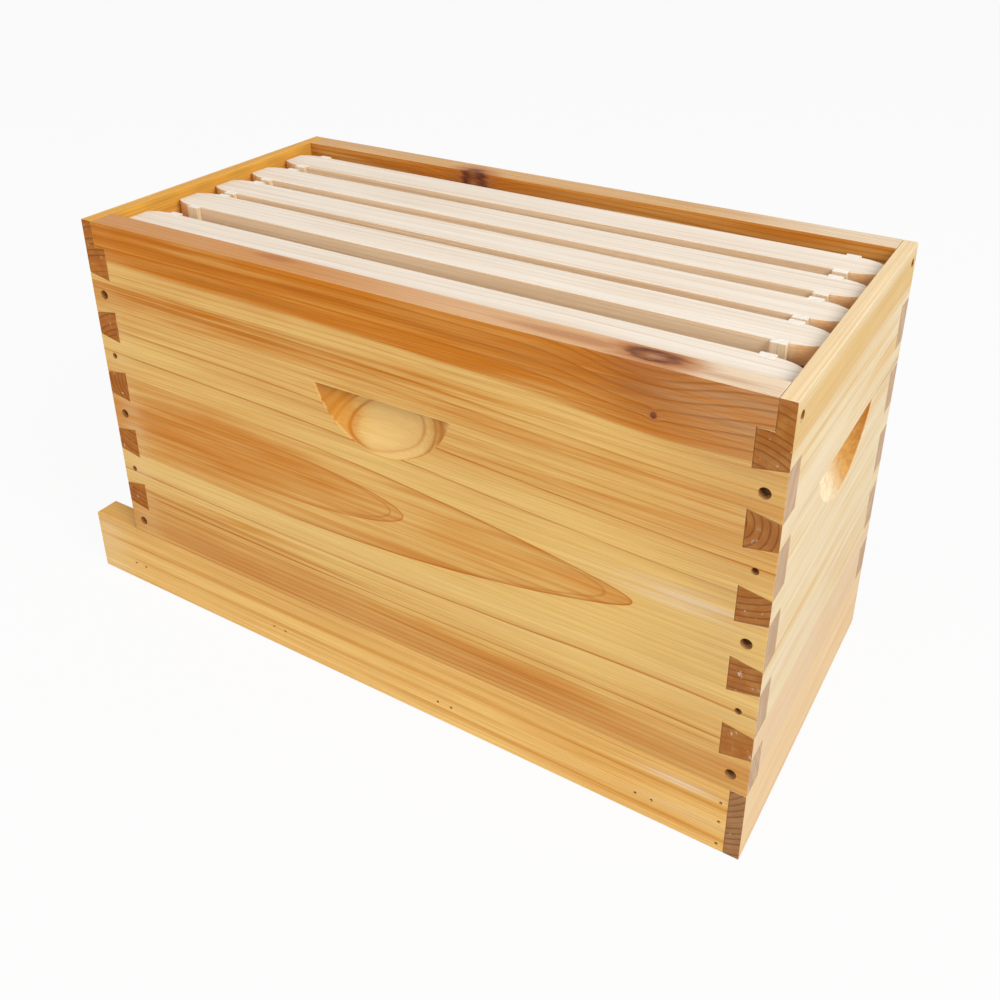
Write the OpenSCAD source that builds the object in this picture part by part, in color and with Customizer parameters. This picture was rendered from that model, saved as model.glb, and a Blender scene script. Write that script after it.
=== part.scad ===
// Five-frame nuc box: a dovetailed wooden box that stands on a bottom board with an open
// entrance at one end, and holds five hanging frames with foundation sheets.
// +X runs towards the closed rear end, -X towards the entrance, +Z up, origin under the middle.

/* [Box] */
// Outside length of the box
box_l = 505; // [440:1:580]
// Outside width of the box
box_w = 250; // [235:1:320]
// Height of the box
box_h = 260; // [235:1:320]
// Thickness of the box's boards
board_t = 19; // [16:0.5:23]
// Depth of the frame rest below the rim
rest_depth = 19; // [16:0.5:23]
// Thickness of the lip that stands outside the frame rest
lip_t = 9.5; // [7:0.5:12]

/* [Dovetails] */
// Number of pins at each corner
pin_count = 5; // [3:1:6]
// Height of a pin at the inside of the corner
pin_h = 23.5; // [18:0.5:28]
// Slope of each flank of a pin over the board's thickness
pin_flare = 3.4; // [1:0.1:5]
// Play between pins and tails
joint_play = 0.1; // [0.05:0.05:0.25]

/* [Handholds] */
// Width of a handhold in a long side along its ledge
side_hold_w = 104; // [70:1:120]
// Width of a handhold in an end along its ledge
end_hold_w = 116; // [70:1:130]
// Height of a handhold on the face of the board
hold_h = 39; // [30:1:50]
// Depth of the scoop behind the ledge's edge
hold_depth = 12; // [8:0.5:13]
// Drop of the ledge below the rim on the long sides
side_hold_drop = 72; // [50:1:110]
// Drop of the ledge below the rim on the ends
end_hold_drop = 82; // [50:1:110]

/* [Box nails] */
// Distance of the corner nails from the ends of the box
nail_inset = 11; // [8:0.5:14]
// Drop of the lip nails below the rim
lip_nail_drop = 12; // [8:0.5:14]
// Diameter of the hole that a nail's head is sunk in
sink_d = 7; // [6:0.1:8]
// Depth of a nail's head below the face
sink_depth = 4.5; // [2:0.1:6]
// Length of a box nail
nail_l = 45; // [38:1:60]
// Diameter of a box nail's shank
nail_d = 2.8; // [2:0.1:3.5]
// Diameter of a box nail's head
nail_head_d = 6; // [5:0.1:6.5]
// Thickness of a box nail's head
nail_head_t = 1.2; // [0.8:0.1:1.6]
// Diameter of the hole that a slim nail's head is sunk in, at every other tail
slim_sink_d = 4.4; // [4:0.1:5.5]
// Diameter of a slim nail's shank
slim_nail_d = 2.2; // [1.8:0.1:2.6]
// Diameter of a slim nail's head
slim_head_d = 3.8; // [3.2:0.1:4.6]

/* [Bottom board] */
// Height of the rails
rail_h = 52; // [44:1:70]
// Thickness of the side rails
rail_t = 19; // [16:0.5:24]
// Reach of the rails past the box at the entrance
porch_l = 46; // [20:1:80]
// Thickness of the rear rail
rear_rail_t = 19; // [16:0.5:24]
// Thickness of the rear rail's tongue that laps the side rails
tongue_t = 10; // [7:0.5:12]
// Thickness of the floor
floor_t = 10; // [8:0.5:13]
// Height of the floor's underside
floor_z = 11; // [8:0.5:14]
// Depth of the groove that holds the floor in each side rail
floor_groove = 6; // [4:0.5:8]

/* [Brads] */
// Pairs of brads from each side rail into the floor
brad_pairs = 4; // [2:1:6]
// Distance of the two brads of a pair
brad_gap = 11; // [8:0.5:14]
// Distance of the outer pairs from the floor's ends
brad_end = 44; // [30:1:60]
// Length of a brad
brad_l = 34; // [28:1:40]
// Diameter of a brad
brad_d = 1.8; // [1.4:0.1:2.4]
// Depth of a brad's head below the face
brad_sink = 0.8; // [0.4:0.1:1.5]

/* [Frames] */
// Least room left beside the frames, so that one can be lifted out
lift_room = 8; // [4:1:30]
// Width of a top bar
top_bar_w = 28.5; // [26:0.5:31]
// Thickness of a top bar between the end bars
top_bar_t = 19; // [17:0.5:23]
// Width of a top bar's neck between the prongs of an end bar
neck_w = 22; // [19:0.5:24]
// Width of a lug at its tip
lug_tip_w = 17.5; // [14:0.5:21]
// Play between the lugs' tips and the lips
lug_play = 2; // [1:0.5:4]
// Drop of the frames' tops below the rim
top_drop = 6.5; // [4:0.5:9]
// Room under the frames inside the box
foot_room = 21.5; // [8:0.5:28]
// Space for bees between the end bars and the end boards
bee_space = 9.5; // [6:0.5:12]
// Width of an end bar at its shoulder
end_bar_w = 35; // [33:0.5:38]
// Width of an end bar at its foot
foot_w = 26; // [23:0.5:29]
// Thickness of an end bar
end_bar_t = 9.5; // [8:0.5:12]
// Height of an end bar's shoulder
shoulder_h = 88; // [60:1:110]
// Height of the slope from shoulder to foot
slope_h = 20; // [10:1:30]
// Width of a bottom bar
bottom_bar_w = 19; // [15:0.5:21]
// Thickness of a bottom bar
bottom_bar_t = 10; // [8:0.5:13]
// Play between the bars of a frame
bar_play = 0.1; // [0.05:0.05:0.25]

/* [Foundation] */
// Thickness of a foundation sheet
sheet_t = 2; // [1.2:0.1:2.6]
// Play of a sheet in its grooves
sheet_play = 0.3; // [0.2:0.05:0.5]
// Depth of the groove under a top bar
top_groove = 6; // [4:0.5:8]
// Depth of the groove in a bottom bar
bottom_groove = 4; // [3:0.5:6]

/* [Wire holes] */
// Wire holes in an end bar
wire_count = 4; // [2:1:5]
// Diameter of a wire hole
wire_d = 3; // [2:0.1:4]
// Height of the lowest wire hole above the frame's underside
wire_low = 42; // [36:1:60]
// Drop of the highest wire hole below the frame's top
wire_high = 46; // [36:1:60]

/* [Frame nails] */
// Length of the nails through the end bars into a top bar
top_nail_l = 25; // [18:1:32]
// Distance of the two such nails in an end bar
top_nail_gap = 14; // [10:0.5:18]
// Length of the nails through the bottom bars
foot_nail_l = 28; // [22:1:32]
// Diameter of a frame nail
frame_nail_d = 1.6; // [1.2:0.1:2]
// Diameter of a frame nail's head
frame_nail_head_d = 3.6; // [3:0.1:4.2]
// Thickness of a frame nail's head
frame_nail_head_t = 0.8; // [0.6:0.1:1]

/* [Hidden] */
$fn = 48;
inner_w = box_w - 2 * board_t;
frame_count = floor((inner_w - lift_room) / end_bar_w);
frame_names = [for (k = [1:frame_count]) str("frame_", k)];
bar_names = ["top_bar", "end_bar_front", "end_bar_rear", "bottom_bar", "foundation", "nails"];
box_names = ["side_board_near", "side_board_far", "end_board_front", "end_board_rear",
             "corner_nails", "lip_nails"];
base_names = ["side_rail_near", "side_rail_far", "rear_rail", "floor_panel",
              "floor_brads", "rail_brads"];

overrun = 1;
nail_play = 0.1;
nail_point_share = 1.2;

half_l = (box_l + porch_l) / 2;
box_x = half_l - box_l / 2;
pin_pitch = (box_h - rest_depth) / pin_count;
function hold_face_r(w) = (w * w / 4 + hold_h * hold_h) / (2 * hold_h);
function hold_stand_off(w) = (w * w / 4 - hold_depth * hold_depth) / (2 * hold_depth);
function hold_ball_r(w) = sqrt(pow(hold_face_r(w), 2) + pow(hold_stand_off(w), 2));

floor_l = box_l + porch_l - rear_rail_t;
floor_w = box_w - 2 * rail_t + 2 * floor_groove - 2 * joint_play;
brad_pitch = (floor_l - 2 * brad_end) / (brad_pairs - 1);
rail_brad_shares = [0.1, 0.45, 0.75];

// Room beside the frames, dealt out unevenly from the near wall to the far one
frame_room = inner_w - frame_count * end_bar_w;
room_shares = [0.084, 0.365, 0.065, 0.127, 0.157, 0.202];
function shares_to(k) = k < 0 ? 0 : room_shares[k % len(room_shares)] + shares_to(k - 1);
function room_before(k) = frame_room * shares_to(k) / shares_to(frame_count);
function frame_y(k) = room_before(k) + (k + 1 / 2) * end_bar_w - inner_w / 2;

frame_l = box_l - 2 * board_t - 2 * bee_space;
top_bar_l = box_l - 2 * lip_t - 2 * lug_play;
frame_h = box_h - top_drop - foot_room;
lug_t = rest_depth - top_drop;
lug_l = (top_bar_l - frame_l) / 2;
lug_taper = (top_bar_w - lug_tip_w) / 2;
lug_r = (lug_l * lug_l + lug_taper * lug_taper) / (2 * lug_taper);
inside_l = frame_l - 2 * end_bar_t;
end_bar_x = frame_l / 2 - end_bar_t / 2;
wire_pitch = (frame_h - wire_low - wire_high) / (wire_count - 1);

honey = "#d99f4c";
pale_honey = "#e6bb77";
cream = "#ecd9b4";
wax = "#e3b84a";
steel = "#8d8f92";

// Repeats its children at the four corners of the box
module at_corners() {
  for (mx = [0, 1]) mirror([mx, 0, 0])
    for (my = [0, 1]) mirror([0, my, 0]) children();
}

// A profile drawn in X and Z, carried along Y
module along_y(w) {
  rotate([90, 0, 0]) linear_extrude(height = w, center = true) children();
}

// A nail with the top of its head at the origin, pointing down
module nail(l, d, head_d, head_t) {
  point = d * nail_point_share;
  rotate_extrude()
    polygon([[0, 0], [head_d / 2, 0], [head_d / 2, -head_t], [d / 2, -head_t],
             [d / 2, point - l], [0, -l]]);
}

// The hole for such a nail, open to the face that lies the sink above the head
module nail_hole(l, d, head_d, head_t, wide_d, sink) {
  translate([0, 0, -l - nail_play]) cylinder(h = l + sink, d = d + 2 * nail_play);
  translate([0, 0, -head_t - nail_play])
    cylinder(h = head_t + nail_play + sink + overrun, d = max(wide_d, head_d + 2 * nail_play));
}

// The round scoop below a straight ledge, in a board whose face is at y = 0
module handhold(w) {
  intersection() {
    translate([0, -hold_stand_off(w), hold_face_r(w) - hold_h]) sphere(r = hold_ball_r(w));
    translate([-w, -hold_depth, -2 * hold_h]) cube([2 * w, 3 * hold_depth, 2 * hold_h]);
  }
}

// One pin's outline at the rear end of the box; the first pin runs up flat into the lip
module pin_outline(k, play) {
  top = box_h - rest_depth - k * pin_pitch;
  low = top - pin_h;
  top_flare = k > 0 ? pin_flare : 0;
  polygon([[box_l / 2 - board_t - play, low - play], [box_l / 2 - board_t - play, top + play],
           [box_l / 2, top - top_flare + play], [box_l / 2, low + pin_flare - play]]);
}

// All pins of a corner and the lip above them
module pins_outline(play) {
  for (k = [0:pin_count - 1]) pin_outline(k, play);
  translate([box_l / 2 - lip_t - play, box_h - rest_depth]) square([lip_t + play, rest_depth]);
}

// Height of the middle of the tail under pin k
function tail_z(k) = box_h - rest_depth - k * pin_pitch - (pin_h + pin_pitch) / 2;

// Brings a nail in from the near long side, at every other tail of one corner from the given one down
module at_corner_nails(first) {
  for (k = [first:2:pin_count - 1])
    translate([box_l / 2 - nail_inset, sink_depth - box_w / 2, tail_z(k)]) rotate([90, 0, 0]) children();
}

// Brings a nail in from the rear end through the lip, at one corner
module at_lip_nail() {
  translate([box_l / 2 - sink_depth, board_t / 2 - box_w / 2, box_h - lip_nail_drop])
    rotate([0, 90, 0]) children();
}

module box_nail() { nail(nail_l, nail_d, nail_head_d, nail_head_t); }

module box_nail_hole() { nail_hole(nail_l, nail_d, nail_head_d, nail_head_t, sink_d, sink_depth); }

module slim_nail() { nail(nail_l, slim_nail_d, slim_head_d, nail_head_t); }

module slim_nail_hole() { nail_hole(nail_l, slim_nail_d, slim_head_d, nail_head_t, slim_sink_d, sink_depth); }

// Long side of the box on -Y, with the tails
module side_board() {
  difference() {
    translate([-box_l / 2, -box_w / 2, 0]) cube([box_l, board_t, box_h]);
    translate([0, (board_t - box_w) / 2, 0])
      for (mx = [0, 1]) mirror([mx, 0, 0]) along_y(board_t + 2 * overrun) side_notches();
    translate([0, -box_w / 2, box_h - side_hold_drop]) handhold(side_hold_w);
    for (mx = [0, 1]) mirror([mx, 0, 0]) {
      at_corner_nails(0) box_nail_hole();
      at_corner_nails(1) slim_nail_hole();
      at_lip_nail() box_nail_hole();
    }
  }
}

// What the pins take out of a side board, run past its end and its top
module side_notches() {
  pins_outline(joint_play);
  translate([box_l / 2 - lip_t - joint_play, box_h - rest_depth])
    square([lip_t + joint_play + overrun, rest_depth + overrun]);
}

// End of the box on +X, with the pins, the frame rest and its lip
module end_board() {
  difference() {
    union() {
      translate([box_l / 2 - board_t, joint_play - inner_w / 2, 0])
        cube([board_t, inner_w - 2 * joint_play, box_h - rest_depth]);
      along_y(box_w) pins_outline(0);
    }
    translate([box_l / 2, 0, box_h - end_hold_drop]) rotate([0, 0, 90]) handhold(end_hold_w);
    for (my = [0, 1]) mirror([0, my, 0]) {
      at_corner_nails(0) box_nail_hole();
      at_corner_nails(1) slim_nail_hole();
      at_lip_nail() box_nail_hole();
    }
  }
}

// Side rail of the bottom board on -Y, grooved for the floor and cut back for the rear rail's tongue
module side_rail() {
  difference() {
    translate([-half_l, -box_w / 2, 0]) cube([2 * half_l - tongue_t, rail_t, rail_h]);
    translate([-half_l - overrun, rail_t - floor_groove - box_w / 2, floor_z - joint_play])
      cube([2 * half_l + 2 * overrun, floor_groove + overrun, floor_t + 2 * joint_play]);
    at_floor_brads() brad_hole();
    at_rail_brads() brad_hole();
  }
}

// Rear rail of the bottom board, its ends cut back to a tongue
module rear_rail() {
  inside_w = box_w - 2 * rail_t;
  difference() {
    translate([half_l - rear_rail_t, 0, 0]) {
      translate([rear_rail_t - tongue_t, -box_w / 2, 0]) cube([tongue_t, box_w, rail_h]);
      translate([0, joint_play - inside_w / 2, 0])
        cube([rear_rail_t, inside_w - 2 * joint_play, rail_h]);
    }
    for (my = [0, 1]) mirror([0, my, 0]) at_rail_brads() brad_hole();
  }
}

module floor_panel() {
  difference() {
    translate([-half_l, -floor_w / 2, floor_z]) cube([floor_l, floor_w, floor_t]);
    for (my = [0, 1]) mirror([0, my, 0]) at_floor_brads() brad_hole();
  }
}

// Pairs of brads from the near side rail into the floor's edge
module at_floor_brads() {
  for (k = [0:brad_pairs - 1]) for (s = [-1, 1])
    translate([brad_end - half_l + k * brad_pitch + s * brad_gap / 2, brad_sink - box_w / 2,
               floor_z + floor_t / 2]) rotate([90, 0, 0]) children();
}

// Brads from the near side rail into the rear rail
module at_rail_brads() {
  for (share = rail_brad_shares)
    translate([half_l - (tongue_t + rear_rail_t) / 2, brad_sink - box_w / 2, share * rail_h])
      rotate([90, 0, 0]) children();
}

module brad() { nail(brad_l, brad_d, brad_d, brad_d); }

module brad_hole() { nail_hole(brad_l, brad_d, brad_d, brad_d, brad_d, brad_sink); }

// Plan of the lug past the end bar: both flanks round off towards the tip
module lug_plan() {
  intersection() {
    translate([frame_l / 2, top_bar_w / 2 - lug_r]) circle(r = lug_r);
    translate([frame_l / 2, lug_r - top_bar_w / 2]) circle(r = lug_r);
    translate([frame_l / 2, -top_bar_w / 2]) square([lug_l, top_bar_w]);
  }
}

// Top bar of a frame, in the frame's own place: x and y from its middle, z from its underside
module top_bar() {
  groove_w = sheet_t + 2 * sheet_play;
  difference() {
    union() {
      translate([-inside_l / 2, -top_bar_w / 2, frame_h - top_bar_t])
        cube([inside_l, top_bar_w, top_bar_t]);
      translate([-frame_l / 2, -neck_w / 2, frame_h - lug_t]) cube([frame_l, neck_w, lug_t]);
      for (mx = [0, 1]) mirror([mx, 0, 0])
        translate([0, 0, frame_h - lug_t]) linear_extrude(height = lug_t) lug_plan();
    }
    translate([-inside_l / 2 - overrun, -groove_w / 2, frame_h - top_bar_t - overrun])
      cube([inside_l + 2 * overrun, groove_w, top_groove + overrun]);
    at_top_nails() top_nail_hole();
  }
}

// End bar on the frame's +X end, forked over the top bar's neck and notched for the bottom bar
module end_bar() {
  slope_top = frame_h - shoulder_h;
  fork_w = neck_w + 2 * bar_play;
  notch_w = bottom_bar_w + 2 * bar_play;
  difference() {
    translate([frame_l / 2 - end_bar_t, 0, 0]) rotate([90, 0, 90])
      linear_extrude(height = end_bar_t)
        polygon([[-foot_w / 2, 0], [foot_w / 2, 0], [foot_w / 2, slope_top - slope_h],
                 [end_bar_w / 2, slope_top], [end_bar_w / 2, frame_h], [-end_bar_w / 2, frame_h],
                 [-end_bar_w / 2, slope_top], [-foot_w / 2, slope_top - slope_h]]);
    translate([frame_l / 2 - end_bar_t - overrun, -fork_w / 2, frame_h - lug_t - bar_play])
      cube([end_bar_t + 2 * overrun, fork_w, lug_t + bar_play + overrun]);
    translate([frame_l / 2 - end_bar_t - overrun, -notch_w / 2, -overrun])
      cube([end_bar_t + 2 * overrun, notch_w, bottom_bar_t + overrun + bar_play]);
    for (k = [0:wire_count - 1])
      translate([frame_l / 2 - end_bar_t - overrun, 0, wire_low + k * wire_pitch]) rotate([0, 90, 0])
        cylinder(h = end_bar_t + 2 * overrun, d = wire_d);
    at_top_nails() top_nail_hole();
    at_foot_nail() foot_nail_hole();
  }
}

module bottom_bar() {
  groove_w = sheet_t + 2 * sheet_play;
  difference() {
    translate([-frame_l / 2, -bottom_bar_w / 2, 0]) cube([frame_l, bottom_bar_w, bottom_bar_t]);
    translate([-inside_l / 2, -groove_w / 2, bottom_bar_t - bottom_groove])
      cube([inside_l, groove_w, bottom_groove + overrun]);
    for (mx = [0, 1]) mirror([mx, 0, 0]) at_foot_nail() foot_nail_hole();
  }
}

// Foundation sheet, standing in the bottom bar's groove
module foundation() {
  low = bottom_bar_t - bottom_groove;
  high = frame_h - top_bar_t + top_groove - sheet_play;
  translate([sheet_play - inside_l / 2, -sheet_t / 2, low])
    cube([inside_l - 2 * sheet_play, sheet_t, high - low]);
}

// Nails below the lugs through both end bars into the top bar, flush with the end bars' outer faces
module at_top_nails() {
  at_corners()
    translate([frame_l / 2, top_nail_gap / 2, frame_h - (top_bar_t + lug_t) / 2])
      rotate([0, 90, 0]) children();
}

// Nail up through the bottom bar into the +X end bar
module at_foot_nail() {
  translate([end_bar_x, 0, 0]) rotate([180, 0, 0]) children();
}

module top_nail_hole() {
  nail_hole(top_nail_l, frame_nail_d, frame_nail_head_d, frame_nail_head_t, frame_nail_head_d, 0);
}

module foot_nail_hole() {
  nail_hole(foot_nail_l, frame_nail_d, frame_nail_head_d, frame_nail_head_t, frame_nail_head_d, 0);
}

module frame_nails() {
  at_top_nails() nail(top_nail_l, frame_nail_d, frame_nail_head_d, frame_nail_head_t);
  for (mx = [0, 1]) mirror([mx, 0, 0])
    at_foot_nail() nail(foot_nail_l, frame_nail_d, frame_nail_head_d, frame_nail_head_t);
}

// Puts children, made in a frame's own place, where frame k hangs
module in_frame(k) {
  translate([box_x, frame_y(k), rail_h + foot_room]) children();
}

// One piece of frame k by its name
module frame_piece(k, piece) {
  in_frame(k) {
    if (piece == "top_bar") color(cream) top_bar();
    if (piece == "end_bar_front") color(cream) mirror([1, 0, 0]) end_bar();
    if (piece == "end_bar_rear") color(cream) end_bar();
    if (piece == "bottom_bar") color(cream) bottom_bar();
    if (piece == "foundation") color(wax) foundation();
    if (piece == "nails") color(steel) frame_nails();
  }
}

// Puts children, made in the box's own place, on the bottom board
module in_box() { translate([box_x, 0, rail_h]) children(); }

color(honey) side_rail();  // side_rail_near
color(honey) mirror([0, 1, 0]) side_rail();  // side_rail_far
color(pale_honey) rear_rail();
color(pale_honey) floor_panel();
color(steel) for (my = [0, 1]) mirror([0, my, 0]) at_floor_brads() brad();  // floor_brads
color(steel) for (my = [0, 1]) mirror([0, my, 0]) at_rail_brads() brad();  // rail_brads
color(honey) in_box() side_board();  // side_board_near
color(honey) in_box() mirror([0, 1, 0]) side_board();  // side_board_far
color(pale_honey) in_box() mirror([1, 0, 0]) end_board();  // end_board_front
color(pale_honey) in_box() end_board();  // end_board_rear
color(steel) in_box() at_corners() {  // corner_nails
  at_corner_nails(0) box_nail();
  at_corner_nails(1) slim_nail();
}
color(steel) in_box() at_corners() at_lip_nail() box_nail();  // lip_nails
for (k = [0:frame_count - 1]) for (piece = bar_names)
  frame_piece(k, piece);
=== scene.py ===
import math
import bmesh
import bpy
import numpy as np
from mathutils import Matrix, Vector
from types import SimpleNamespace


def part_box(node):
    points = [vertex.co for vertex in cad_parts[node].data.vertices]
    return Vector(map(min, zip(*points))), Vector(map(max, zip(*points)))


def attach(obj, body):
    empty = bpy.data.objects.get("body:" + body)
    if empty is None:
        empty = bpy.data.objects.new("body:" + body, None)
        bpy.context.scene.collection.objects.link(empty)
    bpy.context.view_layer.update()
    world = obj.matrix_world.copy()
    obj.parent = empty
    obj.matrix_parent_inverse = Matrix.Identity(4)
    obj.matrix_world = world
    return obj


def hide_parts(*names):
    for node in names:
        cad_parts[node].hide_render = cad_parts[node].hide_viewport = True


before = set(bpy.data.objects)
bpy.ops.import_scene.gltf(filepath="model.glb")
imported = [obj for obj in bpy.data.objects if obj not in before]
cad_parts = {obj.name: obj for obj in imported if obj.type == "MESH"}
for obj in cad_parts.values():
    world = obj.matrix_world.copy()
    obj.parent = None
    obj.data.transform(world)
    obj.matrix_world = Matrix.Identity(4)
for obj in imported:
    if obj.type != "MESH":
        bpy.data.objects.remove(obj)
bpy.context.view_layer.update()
print("frame loaded:", len(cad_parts), "nodes")

mm = 0.001
axes = {"x": (1, 0, 0), "y": (0, 1, 0), "z": (0, 0, 1)}
boxFront, boxNear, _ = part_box("side_board_near")[0]      # the box's outer faces
boxRear, boxFar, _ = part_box("side_board_far")[1]
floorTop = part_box("floor_panel")[1][2]


# Small helpers for shader nodes: a value may be a number or another node's socket.
def addNode(tree, kind, **settings):
    node = tree.nodes.new(kind)
    for key, value in settings.items():
        setattr(node, key, value)
    return node


def feed(tree, socket, value):
    if isinstance(value, bpy.types.NodeSocket):
        tree.links.new(value, socket)
    else:
        socket.default_value = value


def calc(tree, operation, *values):      # one Math node
    node = addNode(tree, "ShaderNodeMath", operation=operation)
    for socket, value in zip(node.inputs, values):
        feed(tree, socket, value)
    return node.outputs[0]


def vector(tree, operation, *values):      # one Vector Math node
    node = addNode(tree, "ShaderNodeVectorMath", operation=operation)
    for socket, value in zip(node.inputs, values):
        feed(tree, socket, value)
    return node.outputs["Value" if operation in ("DOT_PRODUCT", "LENGTH") else "Vector"]


def ramp(tree, value, low, high, start=0.0, end=1.0):      # smooth step from start at low to end at high
    node = addNode(tree, "ShaderNodeMapRange", interpolation_type="SMOOTHSTEP")
    for key, v in zip(("Value", "From Min", "From Max", "To Min", "To Max"), (value, low, high, start, end)):
        feed(tree, node.inputs[key], v)
    return node.outputs[0]


def times(tree, *values):
    product = values[0]
    for value in values[1:]:
        product = calc(tree, "MULTIPLY", product, value)
    return product


def rootOfSquares(tree, a, b):
    return calc(tree, "SQRT", calc(tree, "ADD", times(tree, a, a), times(tree, b, b)))


def between(tree, value, low, high, soft):      # 1 from low to high, with soft ends
    return times(tree, ramp(tree, value, low - soft, low + soft), ramp(tree, value, high + soft, high - soft))


def bell(tree, value, width):      # 1 at zero, falling off within the width on both sides
    share = calc(tree, "DIVIDE", value, width)
    return calc(tree, "POWER", math.e, times(tree, share, share, -1.0))


def blendColour(tree, share, a, b, kind="MIX"):
    node = addNode(tree, "ShaderNodeMix", data_type="RGBA", blend_type=kind)
    feed(tree, node.inputs[0], share)
    for socket, colour in ((node.inputs[6], a), (node.inputs[7], b)):
        feed(tree, socket, colour if isinstance(colour, bpy.types.NodeSocket) else (*colour, 1))
    return node.outputs[2]


def noise(tree, place, scales, offset=(0, 0, 0), detail=2.0, rough=0.5):      # 0..1, centred near a half
    node = addNode(tree, "ShaderNodeVectorMath", operation="MULTIPLY_ADD")
    for socket, value in zip(node.inputs, (place, scales, offset)):
        feed(tree, socket, value)
    cloud = addNode(tree, "ShaderNodeTexNoise")
    for key, v in (("Vector", node.outputs[0]), ("Scale", 1.0), ("Detail", detail), ("Roughness", rough)):
        feed(tree, cloud.inputs[key], v)
    return cloud.outputs[0]


def newMaterial(name):
    material = bpy.data.materials.new(name)
    material.use_nodes = True
    tree = material.node_tree
    return material, tree, tree.nodes["Principled BSDF"], addNode(tree, "ShaderNodeTexCoord")


def bumpFrom(tree, shader, height, strength, distance):
    node = addNode(tree, "ShaderNodeBump")
    node.inputs["Strength"].default_value = strength
    node.inputs["Distance"].default_value = distance
    feed(tree, node.inputs["Height"], height)
    feed(tree, shader.inputs["Normal"], node.outputs[0])


# Sawn wood: growth rings round a pith line behind the face, so faces, edges, scoops and end grain agree.
woodDefaults = {
    "along": "x", "up": "z", "inAxis": "y", "inward": 1,      # grain, height and depth axes, depth's sign
    "centre": (0, 0, 0),      # metres, on the outer face over the pith
    "pithDepth": 120.0, "pithSlope": 0.006,      # mm behind the face, and its change along the grain
    "bow": (0.0, 100.0, 0.0),      # mm along the grain from where to where the pith sinks, and how far
    "skew": 0.0, "skewAt": (62.0, 45.0),      # slope of the rings at that height over the pith, and its reach
    "inLean": 1.0,      # how fast rings turn inwards
    "ringWidth": 2.6, "ringZero": 118.0, "wander": 2.5, "ripple": 0.6,      # mm
    "years": (), "twins": 0,      # (year, tone, line) stops; years below twins have a second line
    "tips": (90.0, 240.0),      # where along the grain the lines of those years come in
    "toneRange": (0.0, 0.3), "lineRange": (0.15, 0.9),      # by chance, where no years are given
    "lineWidth": 1.7, "lineShare": 0.62, "shade": 0.26, "seed": 0.0,
    "early": (0.785, 0.525, 0.18), "heart": (0.59, 0.200, 0.017), "late": (0.48, 0.145, 0.008),
    "endGrain": (0.41, 0.132, 0.017), "endLine": (0.17, 0.042, 0.008), "endPale": (0.56, 0.26, 0.06),
    "endShare": 0.95, "flecks": 0.6,
    "fibre": 0.6, "cloud": 0.17, "rough": 0.45, "gloss": 0.06,
    "bands": (),      # (low, high, tint, share) by height on the face
    "streaks": (),      # (height, width, begin, end, share), dark along the grain
    "smears": (), "hazes": (),      # (along, up, long, tall, tint, share) under and over the lines
    "darkLines": (),      # (from along, from up, softness, tint, share) of lines drawn again over the hazes
    "knots": (),      # (place in metres, half sizes in metres, mm that rings are pushed out, darkness)
    "whorl": (),      # (along, up, half length, half height) of the oval rings in a handhold
    "loops": ((1.06, 0.06, 1.0), (0.98, 0.14, 0.3), (1.42, 0.05, 0.7),      # (size, width, share) of an oval
              (1.62, 0.10, 0.9), (1.95, 0.06, 0.8)),
    "scoop": (), "scoopSoft": 9.0, "mottle": 0.0,      # (low, high, begin, end, tint, share) in a handhold
    "sides": (),      # (axis, tint, share, kind of blend, begin, end, softness) for faces turned that way
    "cuts": (),      # (begin, end, top) within which hole walls and dovetail flanks are dark with wax and with painted shade
}
grain = {      # noise scales per mm along the grain, up the face and into the board
    "sway": (0.0035, 0.011, 0.011), "ripple": (0.012, 0.07, 0.07), "patch": (0.007, 0.045, 0.045),
    "stripe": (0.004, 0.24, 0.24), "fibre": (0.007, 0.9, 0.9), "shine": (0.02, 0.06, 0.06),
    "knotEdge": (0.06, 0.30, 0.30), "knotBark": (0.07, 0.16, 0.16),
    "wash": (0.011, 0.22, 0.22), "tear": (0.16, 0.30, 0.30),
    "pores": (0.0, 1.6, 1.6), "blotch": (0.0, 0.11, 0.11), "fleck": (0.0, 0.16, 0.20),
}
knotLook = {      # distances in half sizes of the knot, a pair from where there is none to where it is full
    "pushReach": 1.8, "ragged": 0.9, "largePush": 3.0,      # large knots push rings further than that, in mm
    "bark": (1.0, 0.6), "middle": (0.2, 0.65), "middleShare": 0.4, "halo": (2.0, 0.7), "eye": (0.35, 0.15),
    "barkTint": (0.11, 0.030, 0.018), "barkShare": 0.95, "haloTint": (0.44, 0.15, 0.042), "haloShare": 0.85,
    "eyeTint": (0.50, 0.28, 0.18), "eyeShare": 0.5,
}
handhold = {"depth": 14.0, "halfLength": 62.0, "below": 24.0, "above": 19.2}      # mm, round a whorl's middle
leastSlant = 0.004
twinPlace, twinWidth, twinShare, twinFade = 0.93, 0.8, 0.5, -0.88
edgeCalm = -0.85      # sawn edges show few lines
streakSoft, lineRise = 40, 12      # mm in which streaks fade out and redrawn lines come in
# wax and painted shade for hole walls, dovetail flanks and the gaps of joints
waxAndShadeTint, waxAndShadeShare = (0.44, 0.19, 0.043), 0.85
waxWhite = (0.86, 0.76, 0.62)
darkFibre, brightFibre = (0.74, 0.58, 0.40), (1.12, 1.12, 1.12)


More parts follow.
